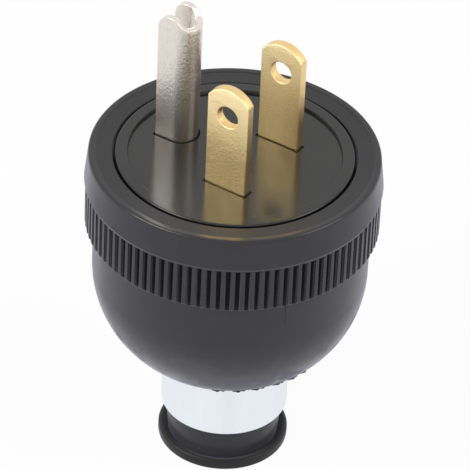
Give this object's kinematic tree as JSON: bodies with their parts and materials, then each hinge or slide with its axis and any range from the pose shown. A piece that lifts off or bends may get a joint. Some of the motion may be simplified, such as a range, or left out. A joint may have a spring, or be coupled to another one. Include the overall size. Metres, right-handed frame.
{
  "type": "power plug",
  "caption": "Round rewirable power plug with two flat brass blades, a U-shaped ground pin, a ribbed rubber shell with a domed back, and a cord bushing in a metal ferrule.",
  "frame": {"origin": "centre of the lower face of the cord bushing's flange, on which the plug stands", "axes": "+Z along the plug's axis towards the blade tips, +Y towards the ground pin, +X towards the line blade"},
  "size_m": [0.0404, 0.0404, 0.0672],
  "materials": {
    "shell_rubber": "satin black moulded rubber",
    "carrier_phenolic": "glossy black moulded phenolic",
    "retainer_phenolic": "matte dark brown phenolic",
    "blade_brass": "tumbled bright brass",
    "pin_nickel": "bright nickel plate, slightly grainy",
    "ferrule_metal": "satin bright metal",
    "bushing_rubber": "matte black rubber",
    "insert_brass": "machined brass",
    "clamp_brass": "stamped brass",
    "clamp_nickel": "nickel-plated stamping",
    "screw_brass": "brass screw",
    "screw_steel": "zinc-plated steel",
    "screw_green": "green-dyed screw"
  },
  "bodies": {
    "root": {"shell": "shell_rubber", "contact_carrier": "carrier_phenolic", "blade_retainer": "retainer_phenolic", "retainer_screws": "screw_steel", "threaded_inserts": "insert_brass", "line_blade": "blade_brass", "neutral_blade": "blade_brass", "ground_pin": "pin_nickel", "line_clamp_plate": "clamp_brass", "neutral_clamp_plate": "clamp_nickel", "ground_clamp_plate": "clamp_nickel", "line_terminal_screw": "screw_brass", "neutral_terminal_screw": "screw_steel", "ground_terminal_screw": "screw_green", "ferrule": "ferrule_metal", "cord_bushing": "bushing_rubber"}
  },
  "joints": []
}
